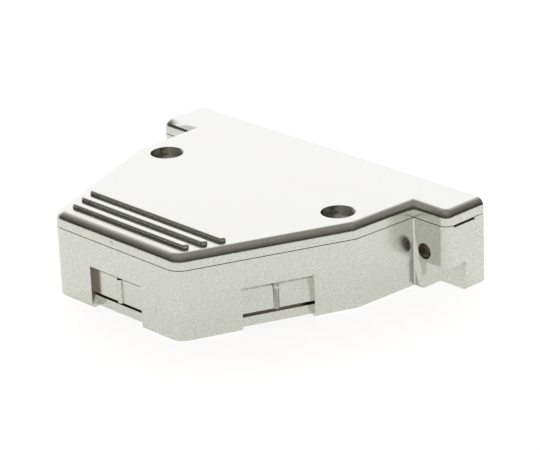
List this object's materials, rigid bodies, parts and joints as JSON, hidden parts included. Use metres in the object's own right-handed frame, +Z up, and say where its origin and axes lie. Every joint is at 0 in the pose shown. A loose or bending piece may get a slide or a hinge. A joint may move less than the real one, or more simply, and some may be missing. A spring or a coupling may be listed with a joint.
{
  "type": "d-sub hood",
  "caption": "Two-part die-cast metal hood for a wide D-sub connector: flanged mouth with eared jackscrew holes, tapered body, screwed cover with finger ribs, break-out cable entries.",
  "frame": {"origin": "centre of the bounding box in plan, on the flat underside that the hood rests on", "axes": "+X along the connector, +Y towards the mating face, +Z up from the underside to the screwed cover"},
  "size_m": [0.0744, 0.0538, 0.0167],
  "materials": {
    "nickel_casting": "satin nickel plating on a zinc die casting",
    "zinc_steel": "bright zinc-plated steel",
    "pressed_steel": "plated pressed steel strip"
  },
  "bodies": {
    "root": {"lower_shell": "nickel_casting", "cover": "nickel_casting", "cover_screw_left": "zinc_steel", "cover_screw_right": "zinc_steel", "cable_clamp": "pressed_steel", "clamp_screw_left": "zinc_steel", "clamp_screw_right": "zinc_steel"}
  },
  "joints": []
}
